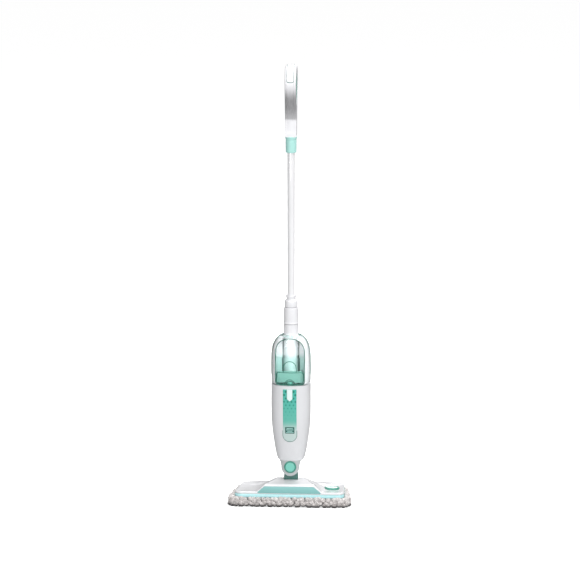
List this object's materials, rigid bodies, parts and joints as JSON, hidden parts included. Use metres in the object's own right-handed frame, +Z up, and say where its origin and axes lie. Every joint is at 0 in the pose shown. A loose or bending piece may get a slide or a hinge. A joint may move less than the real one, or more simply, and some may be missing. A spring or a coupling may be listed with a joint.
{
  "type": "steam mop",
  "caption": "Upright steam mop: flat head with a fringed microfibre pad, tilting and swivelling neck, white body with clear lift-off water tank, slim pole and loop handle.",
  "frame": {"origin": "on the floor under the neck's tilt axis, at the centre of the pad's underside", "axes": "+Z up along the upright pole, front of the mop towards -Y, width along X"},
  "size_m": [0.3342, 0.176, 1.2103],
  "materials": {
    "white_plastic": "gloss",
    "teal_plastic": "satin",
    "inlay_teal": "satin",
    "aqua_strip": "satin",
    "tank_clear": "gloss, translucent",
    "lens_milky": "gloss",
    "pad_microfibre": "chenille pile",
    "pole_enamel": "gloss",
    "steel": "plain",
    "brass": "plain",
    "boiler_alloy": "cast",
    "black_rubber": "matt",
    "hose_silicone": "matt",
    "inner_grey": "matt",
    "board_green": "satin"
  },
  "bodies": {
    "mop_head": {"cleaning_pad": "pad_microfibre", "base_plate": "inner_grey", "bumper_strip": "aqua_strip", "head_cover": "white_plastic", "front_panel": "teal_plastic", "pivot_bracket": "inner_grey", "steam_manifold": "inner_grey", "head_hose": "hose_silicone", "pedal_spring": "steel", "head_screw_1": "steel", "head_screw_2": "steel", "head_screw_3": "steel", "head_screw_4": "steel"},
    "pedal": {"pad_pedal": "teal_plastic"},
    "neck": {"neck_yoke": "teal_plastic", "pitch_pin": "steel"},
    "main_body": {"front_shell": "white_plastic", "rear_shell": "white_plastic", "swivel_pin": "steel", "swivel_cap": "teal_plastic", "inlay_panel": "inlay_teal", "indicator_lens": "lens_milky", "control_board": "board_green", "boiler": "boiler_alloy", "heating_element": "steel", "thermostat": "brass", "check_valve": "brass", "pump_cylinder": "inner_grey", "cylinder_cap": "inner_grey", "suction_hose": "hose_silicone", "steam_hose": "hose_silicone", "tank_seat": "white_plastic", "seat_seal": "black_rubber", "bay_frame": "white_plastic", "neck_collar": "white_plastic", "wiper_collar": "white_plastic", "cord_gland": "black_rubber", "terminal_block": "lens_milky", "lower_cord_hook": "white_plastic", "body_screw_1": "steel", "body_screw_2": "steel", "body_screw_3": "steel", "body_screw_4": "steel"},
    "pole": {"pole_tube": "pole_enamel", "pump_rod": "inner_grey", "piston_seal": "black_rubber", "pump_spring": "steel", "handle_collar": "teal_plastic", "handle_shell_left": "white_plastic", "handle_shell_right": "white_plastic", "handle_grip": "teal_plastic", "handle_trim": "white_plastic"},
    "release_button": {"pole_button": "white_plastic"},
    "cord_hook": {"upper_cord_hook": "white_plastic"},
    "water_tank": {"tank_shell": "tank_clear"},
    "fill_cap": {"tank_cap": "teal_plastic", "valve_spring": "steel", "valve_retainer": "inner_grey"},
    "valve": {"valve_plunger": "inner_grey"}
  },
  "joints": [
    {"name": "neck_pitch", "type": "hinge", "parent": "mop_head", "child": "neck", "pos_m": [0, 0, 0.046], "axis": [-1, 0, 0], "range_deg": [0, 65]},
    {"name": "neck_swivel", "type": "hinge", "parent": "neck", "child": "main_body", "pos_m": [0, 0, 0.1015], "axis": [0, 1, 0], "range_deg": [-45, 45]},
    {"name": "pump_stroke", "type": "slide", "parent": "main_body", "child": "pole", "axis": [0, 0, 1], "range_m": [-0.015, 0], "stiffness_N_per_m": 400, "springref_m": 0.03, "deforming": ["pump_spring"]},
    {"name": "tank_lift", "type": "slide", "parent": "main_body", "child": "water_tank", "axis": [0, 0, 1], "range_m": [0, 0.15]},
    {"name": "pedal_press", "type": "slide", "parent": "mop_head", "child": "pedal", "axis": [0, 0, 1], "range_m": [-0.003, 0], "stiffness_N_per_m": 1200, "springref_m": 0.002, "deforming": ["pedal_spring"]},
    {"name": "button_press", "type": "slide", "parent": "pole", "child": "release_button", "axis": [0, 1, 0], "range_m": [-0.0025, 0], "stiffness_N_per_m": 600, "springref_m": 0.002},
    {"name": "hook_turn", "type": "hinge", "parent": "pole", "child": "cord_hook", "pos_m": [0, 0.0158, 1.03], "axis": [0, 1, 0], "range_deg": [0, 180]},
    {"name": "cap_turn", "type": "hinge", "parent": "water_tank", "child": "fill_cap", "pos_m": [0, -0.0345, 0.326], "axis": [0, 0, 1], "range_deg": [0, 90]},
    {"name": "valve_lift", "type": "slide", "parent": "fill_cap", "child": "valve", "axis": [0, 0, 1], "range_m": [0, 0.003], "stiffness_N_per_m": 300, "springref_m": -0.004, "deforming": ["valve_spring"]}
  ]
}
